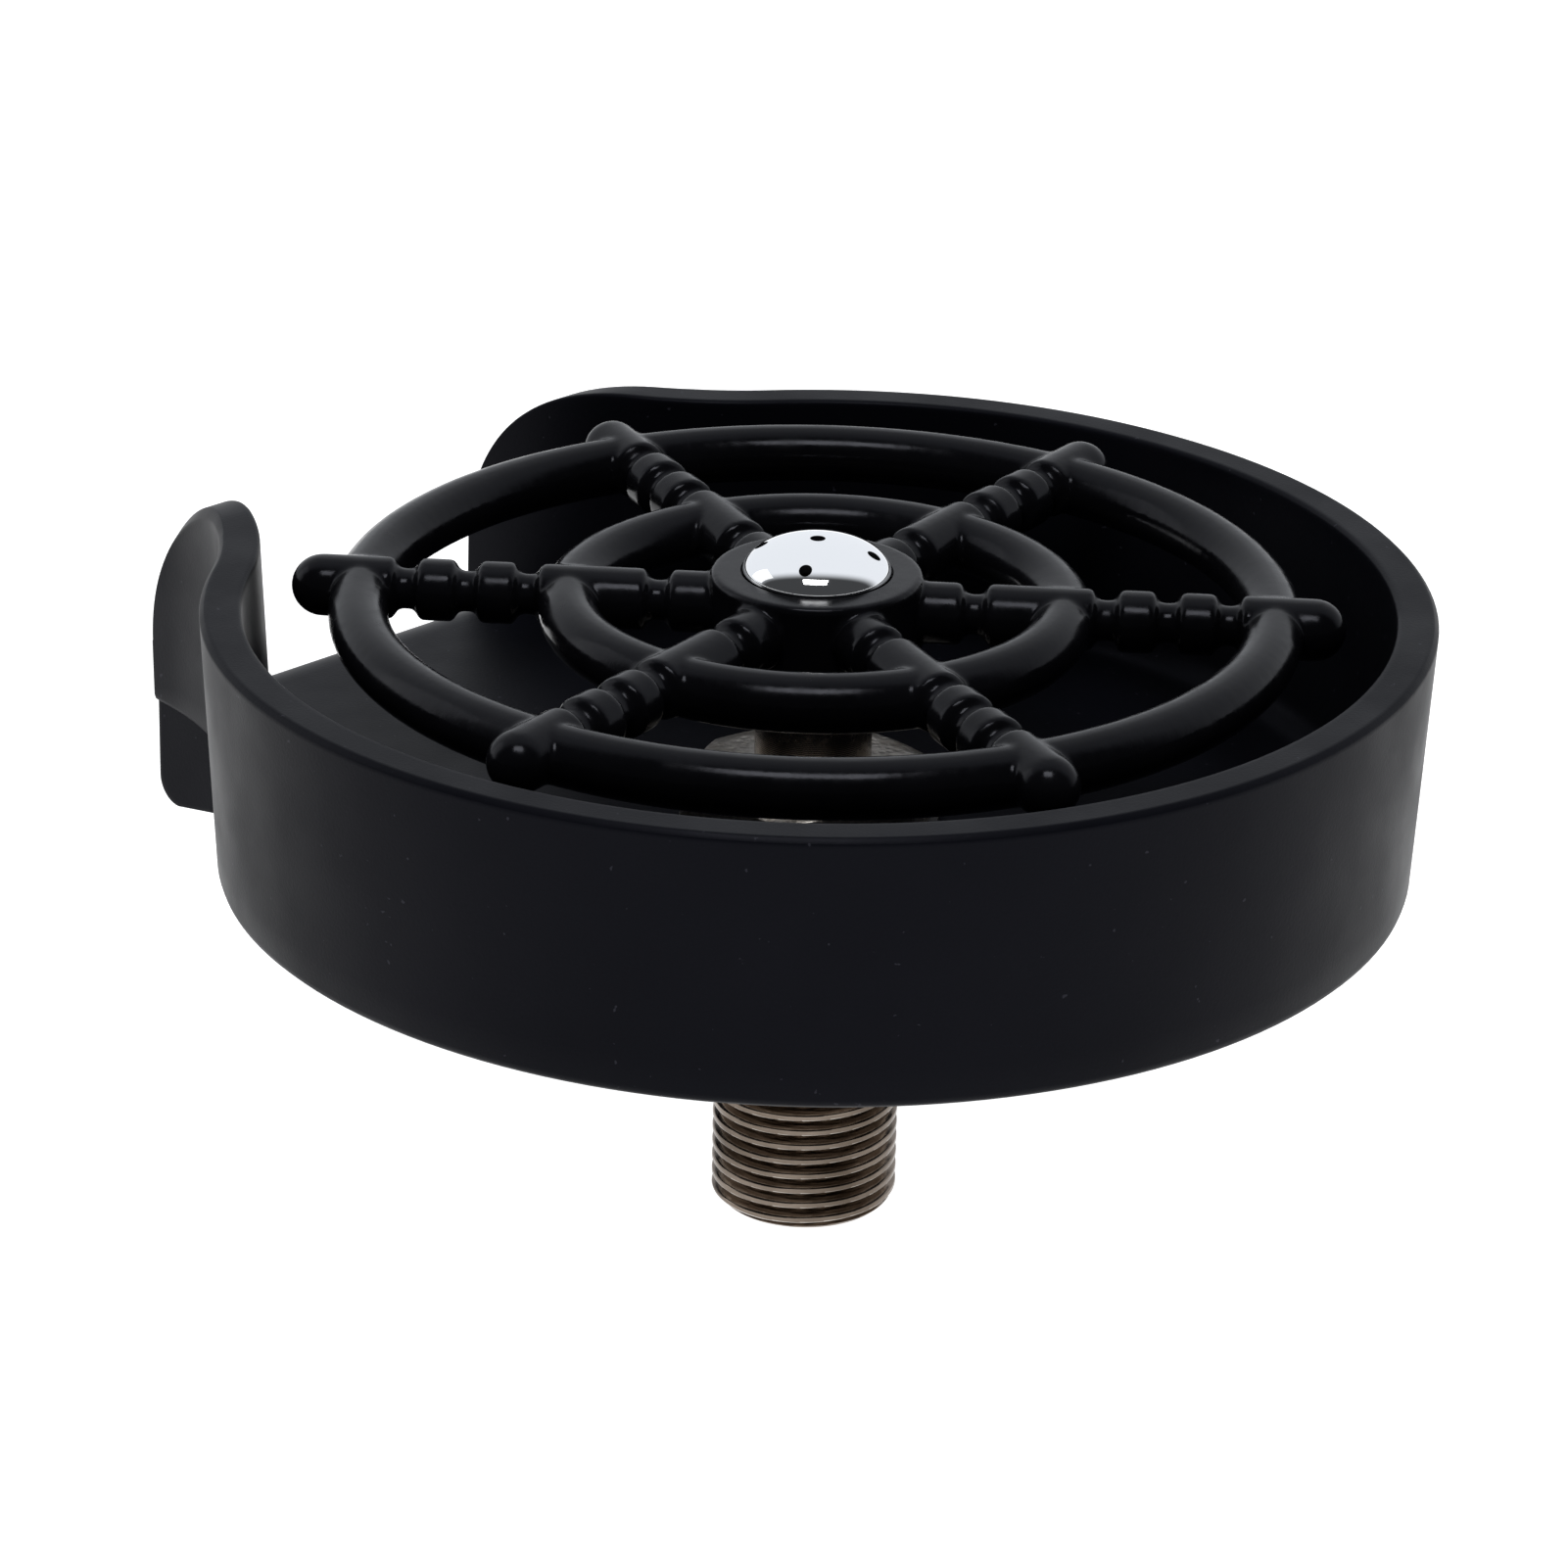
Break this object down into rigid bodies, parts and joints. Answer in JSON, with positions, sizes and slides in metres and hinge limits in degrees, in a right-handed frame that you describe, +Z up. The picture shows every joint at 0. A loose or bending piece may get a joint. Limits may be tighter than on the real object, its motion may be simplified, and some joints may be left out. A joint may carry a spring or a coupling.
{
  "type": "glass rinser",
  "caption": "Sink-deck glass rinser: a round basin with a pouring spout, a star that a glass presses down to open a spray valve, and a threaded supply shank.",
  "frame": {"origin": "on the valve axis, in the plane of the basin's underside that rests on the deck", "axes": "+Z up along the valve axis, -X along the spout towards the sink, so +X is the longest way across and +Z the shortest"},
  "size_m": [0.1495, 0.136, 0.0798],
  "materials": {
    "matte_black_abs": "fine matte moulding, slightly bluish black",
    "gloss_black": "semi-gloss black with faint moulding marks",
    "chrome": "mirror chrome plate",
    "nickel_brass": "nickel-washed brass, cast on the collar and turned on the thread",
    "steel": "plain stainless steel",
    "rubber": "matte black rubber",
    "acetal": "natural white acetal"
  },
  "bodies": {
    "root": {"basin": "matte_black_abs", "base_seal": "rubber", "collar_gasket": "rubber", "valve_body": "nickel_brass", "deck_gasket": "rubber", "mounting_washer": "steel", "mounting_nut": "nickel_brass", "guide_bush": "acetal", "wiper_seal": "rubber", "valve_seat": "acetal", "seat_o_ring": "rubber", "spring_retainer": "steel", "retaining_clip": "steel", "inlet_filter": "steel"},
    "press_carriage": {"spring_cup": "acetal", "return_spring": "steel"},
    "spray_head": {"spray_star": "gloss_black", "spray_cap": "chrome", "cap_o_ring": "rubber", "head_nut": "nickel_brass", "spindle": "steel", "piston_o_ring_upper": "rubber", "piston_o_ring_lower": "rubber", "poppet": "acetal", "poppet_seal": "rubber", "poppet_clip": "steel"}
  },
  "joints": [
    {"name": "press", "type": "slide", "parent": "root", "child": "press_carriage", "axis": [0, 0, -1], "range_m": [0, 0.006], "stiffness_N_per_m": 1200, "springref_m": -0.006, "deforming": ["return_spring"]},
    {"name": "spin", "type": "hinge", "parent": "press_carriage", "child": "spray_head", "pos_m": [0, 0, 0], "axis": [0, 0, 1], "continuous": true}
  ]
}
